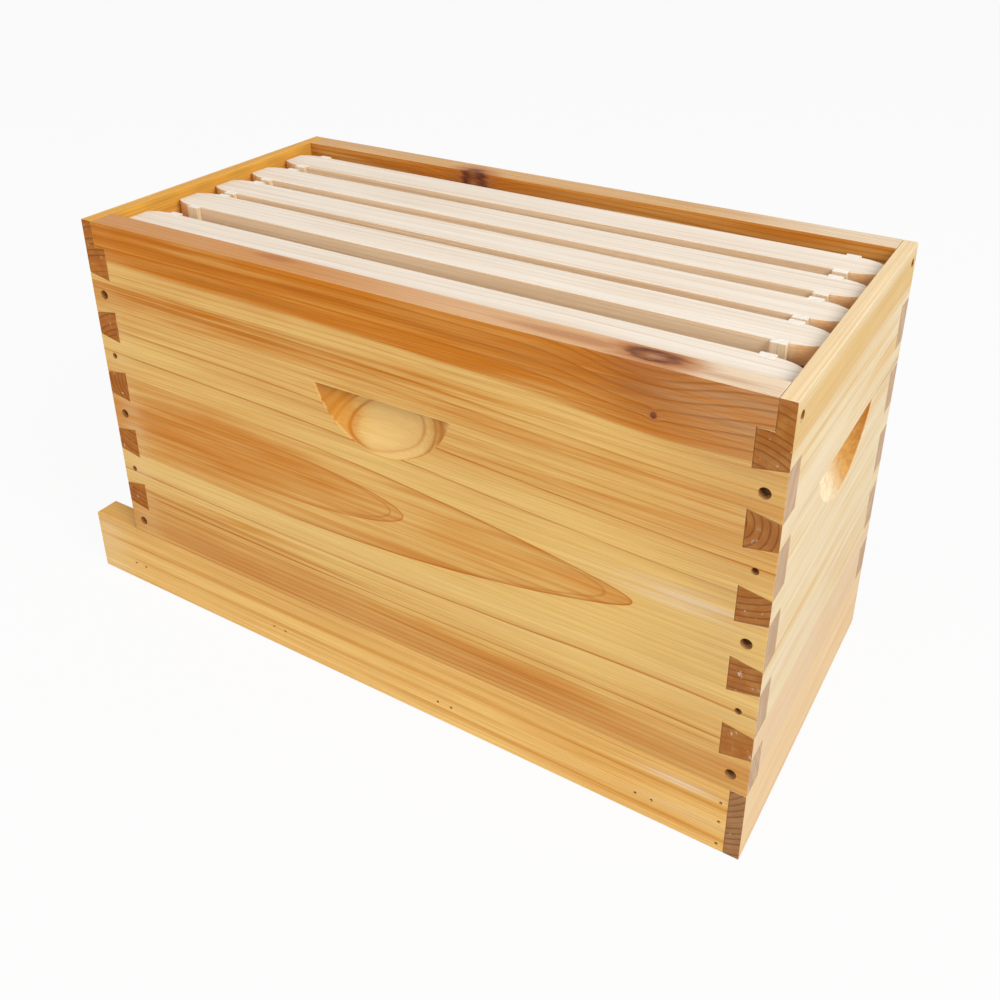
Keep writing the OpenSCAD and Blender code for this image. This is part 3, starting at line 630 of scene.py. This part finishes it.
for k in range(1, frames["count"] + 1):
    body = f"frame_{k}"
    low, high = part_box(f"{body}_top_bar")
    middle = (low[1] + high[1]) / 2 + frames["pithAside"] + frames["pithStep"] * k      # for straight grain
    depth = frames["pithDepth"] + frames["depthStep"] * k
    barWood = sawnWood(
        f"{body}_bar_wood", centre=(-0.24, middle, high[2]), up="y", inAxis="z", inward=-1, pithDepth=depth,
        pithSlope=0.0, bow=(40.0, 440.0, 2.0 + k % 2), ringZero=depth - 1.0,
        seed=frames["barSeed"] + frames["seedStep"] * k, sides=frames["sides"], **frames["plain"],
    )
    uprightWood = sawnWood(
        f"{body}_upright_wood", along="z", up="y", inAxis="x",
        centre=(0.0, low[1] - frames["pithAside"], 0.2), pithDepth=300.0, ringZero=200.0,
        seed=frames["uprightSeed"] + frames["seedStep"] * k,
        **{**frames["plain"], "early": frames["upright"]},
    )
    for part in ("top_bar", "bottom_bar"):
        easedCopy(f"{body}_{part}", frames["ease"], body, barWood)
    for part in ("end_bar_front", "end_bar_rear"):
        easedCopy(f"{body}_{part}", frames["ease"], body, uprightWood)
print("frames done")


# Beeswax foundation, pressed with six-sided cells on both faces.
comb = {
    "cell": 5.4 * mm, "sink": 0.55 * mm,      # width and depth of a cell
    "wax": (0.80, 0.55, 0.16), "deepWax": (0.66, 0.40, 0.09), "clouds": (18, 18, 18),
    "weld": 1e-7, "sliver": 1e-9,      # points that near are one, and faces that small are left out
}


def waxMaterial():
    material, tree, shader, place = newMaterial("beeswax")
    cloudy = noise(tree, place.outputs["Object"], comb["clouds"], detail=4.0)
    colour = blendColour(tree, ramp(tree, cloudy, 0.3, 0.7), comb["wax"], comb["deepWax"])
    feed(tree, shader.inputs["Base Color"], colour)
    feed(tree, shader.inputs["Roughness"], ramp(tree, cloudy, 0.2, 0.8, 0.36, 0.55))
    shader.inputs["Subsurface Weight"].default_value = 0.15
    shader.inputs["Subsurface Radius"].default_value = (0.004, 0.002, 0.0008)
    return material


def foundationSheet(name, low, high, material):
    # Cell centres lie in rows 1.5 corner radii apart, every other row half a cell along; each cell is a fan
    # of six triangles from its sunk centre to its raised corners, clipped to the sheet; a rim joins them all.
    columns = round((high[0] - low[0]) / comb["cell"])
    pitch = (high[0] - low[0]) / columns
    rows = round((high[2] - low[2]) / (1.5 * pitch / math.sqrt(3)))
    reach = (high[2] - low[2]) / (1.5 * rows)      # corner radius, stretched a little to fit
    row, column = np.meshgrid(np.arange(rows + 1), np.arange(columns + 1), indexing="ij")
    middleX = low[0] + (column + 0.5 * (row % 2 == 0)) * pitch
    middleZ = low[2] + 1.5 * reach * row
    turn = np.radians(30 + 60 * np.arange(6))
    cells, cellPoints = (rows + 1) * (columns + 1), 7      # a cell's middle is the first of its points
    x = np.concatenate([middleX[..., None], middleX[..., None] + pitch / math.sqrt(3) * np.cos(turn)], -1)
    z = np.concatenate([middleZ[..., None], middleZ[..., None] + reach * np.sin(turn)], -1)
    flat = np.stack([x.clip(low[0], high[0]), z.clip(low[2], high[2])], -1).reshape(-1, 2)
    sunk = np.tile(np.arange(cellPoints) == 0, cells)
    rounded = np.round(flat / comb["weld"]).astype(np.int64)
    _, first, index = np.unique(rounded, axis=0, return_index=True, return_inverse=True)
    around = np.arange(6)
    fan = np.stack([np.zeros(6, int), 1 + around, 1 + (around + 1) % 6], -1)
    faces = index.reshape(-1)[(np.arange(cells) * cellPoints)[:, None, None] + fan].reshape(-1, 3)
    a, b, c = (flat[first][faces[:, i]] for i in range(3))
    area = (b[:, 0] - a[:, 0]) * (c[:, 1] - a[:, 1]) - (b[:, 1] - a[:, 1]) * (c[:, 0] - a[:, 0])
    faces = faces[area > comb["sliver"]]
    count = len(first)
    edges = np.concatenate([faces[:, [0, 1]], faces[:, [1, 2]], faces[:, [2, 0]]])
    paired = np.isin(edges[:, 0] * count + edges[:, 1], edges[:, 1] * count + edges[:, 0])
    rim = edges[~paired]      # edges with a face on one side only
    half = (high[1] - low[1]) / 2 - comb["sink"] * sunk[first]
    middle = (low[1] + high[1]) / 2
    near = np.stack([flat[first][:, 0], middle - half, flat[first][:, 1]], -1)
    far = np.stack([flat[first][:, 0], middle + half, flat[first][:, 1]], -1)
    strip = np.concatenate([np.stack([rim[:, 1], rim[:, 0], rim[:, 0] + count], -1),
                            np.stack([rim[:, 1], rim[:, 0] + count, rim[:, 1] + count], -1)])
    data = bpy.data.meshes.new(name)
    allFaces = np.concatenate([faces, faces[:, ::-1] + count, strip])
    data.from_pydata(np.concatenate([near, far]).tolist(), [], allFaces.tolist())
    piece = bpy.data.objects.new(name, data)
    bpy.context.scene.collection.objects.link(piece)
    data.materials.append(material)
    return piece


wax = waxMaterial()
for k in range(1, frames["count"] + 1):
    low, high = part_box(f"frame_{k}_foundation")
    sheet = foundationSheet(f"frame_{k}_wax", low, high, wax)
    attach(sheet, f"frame_{k}")
    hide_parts(f"frame_{k}_foundation")
print("foundation done:", len(sheet.data.polygons), "faces a sheet")


# Nails and brads in dulled steel.
nails = {"steel": (0.15, 0.068, 0.026), "stain": (0.07, 0.028, 0.012), "stains": (900, 900, 900)}


def dullSteel():
    material, tree, shader, place = newMaterial("dull_steel")
    stain = noise(tree, place.outputs["Object"], nails["stains"], detail=3.0)
    colour = blendColour(tree, ramp(tree, stain, 0.45, 0.7), nails["steel"], nails["stain"])
    feed(tree, shader.inputs["Base Color"], colour)
    shader.inputs["Metallic"].default_value = 0.1
    shader.inputs["Specular IOR Level"].default_value = 0.2
    feed(tree, shader.inputs["Roughness"], ramp(tree, stain, 0.3, 0.7, 0.4, 0.65))
    return material


steel = dullSteel()
frameNails = [f"frame_{k}_nails" for k in range(1, frames["count"] + 1)]
for node in ["corner_nails", "lip_nails", "floor_brads", "rail_brads"] + frameNails:
    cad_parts[node].data.materials.clear()
    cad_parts[node].data.materials.append(steel)
print("nails done")


# Studio: white floor that keeps a soft shadow, soft lamps from the right and the left, and an even white sky.
studio = {
    "floorSize": 12.0, "floorColour": (0.70, 0.70, 0.70), "floorGlow": 0.92, "sky": 0.50,
    "key": {"place": (2.3, -0.9, 2.0), "aim": (0.05, 0, 0.15), "size": 1.8, "watts": 66.0},
    "fill": {"place": (-1.6, -2.6, 1.6), "aim": (0.0, 0, 0.15), "size": 2.4, "watts": 34.0},
    "camera": {"azimuth": 31.52, "elevation": 25.79, "roll": -0.20, "lens": 39.10, "sensor": 36.0,
               "shift": -0.16, "place": (0.3896, -0.5810, 0.5621)},
}


def seenDirectly(tree):      # 1 for camera, mirrored and transmitted rays
    rays = addNode(tree, "ShaderNodeLightPath")
    seen = calc(tree, "MAXIMUM", rays.outputs["Is Camera Ray"], rays.outputs["Is Glossy Ray"])
    return calc(tree, "MAXIMUM", seen, rays.outputs["Is Transmission Ray"])


def studioFloor():
    half = studio["floorSize"] / 2
    data = bpy.data.meshes.new("floor")
    corners = [(-half, -half, 0), (half, -half, 0), (half, half, 0), (-half, half, 0)]
    data.from_pydata(corners, [], [(0, 1, 2, 3)])
    floor = bpy.data.objects.new("floor", data)
    bpy.context.scene.collection.objects.link(floor)
    material = bpy.data.materials.new("floor_white")
    material.use_nodes = True
    tree = material.node_tree
    tree.nodes.clear()
    matt = addNode(tree, "ShaderNodeBsdfDiffuse")
    matt.inputs["Color"].default_value = (*studio["floorColour"], 1)
    glow = addNode(tree, "ShaderNodeEmission")
    mix = addNode(tree, "ShaderNodeMixShader")
    share = calc(tree, "MULTIPLY", seenDirectly(tree), studio["floorGlow"])
    for socket, value in zip(mix.inputs, (share, matt.outputs[0], glow.outputs[0])):
        feed(tree, socket, value)
    out = addNode(tree, "ShaderNodeOutputMaterial")
    feed(tree, out.inputs["Surface"], mix.outputs[0])
    data.materials.append(material)


def studioSky():
    world = bpy.data.worlds.new("studio")
    bpy.context.scene.world = world
    world.use_nodes = True
    tree = world.node_tree
    background = tree.nodes["Background"]
    feed(tree, background.inputs["Color"], (1, 1, 1, 1))
    feed(tree, background.inputs["Strength"], ramp(tree, seenDirectly(tree), 0.0, 1.0, studio["sky"], 1.0))


def softLamp(name):
    settings = studio[name]
    data = bpy.data.lights.new(name, "AREA")
    data.shape = "DISK"
    data.size = settings["size"]
    data.energy = settings["watts"]
    lamp = bpy.data.objects.new(name, data)
    bpy.context.scene.collection.objects.link(lamp)
    lamp.location = settings["place"]
    lamp.rotation_euler = (Vector(settings["aim"]) - lamp.location).to_track_quat("-Z", "Y").to_euler()


def studioCamera():
    shot = studio["camera"]
    az, el, roll = (math.radians(shot[k]) for k in ("azimuth", "elevation", "roll"))
    back = Vector((math.sin(az) * math.cos(el), -math.cos(az) * math.cos(el), math.sin(el)))
    right = Vector((0, 0, 1)).cross(back).normalized()
    upward = back.cross(right)
    rolledRight = right * math.cos(roll) + upward * math.sin(roll)
    rolledUp = upward * math.cos(roll) - right * math.sin(roll)
    data = bpy.data.cameras.new("camera")
    data.sensor_width = shot["sensor"]
    data.lens = shot["lens"]
    data.shift_y = shot["shift"]
    data.clip_start = 0.01
    camera = bpy.data.objects.new("camera", data)
    bpy.context.scene.collection.objects.link(camera)
    turn = Matrix((rolledRight, rolledUp, back)).transposed()
    camera.matrix_world = Matrix.Translation(shot["place"]) @ turn.to_4x4()
    bpy.context.scene.camera = camera


studioFloor()
studioSky()
softLamp("key")
softLamp("fill")
studioCamera()
bpy.context.scene.view_settings.view_transform = "Standard"
print("studio done")
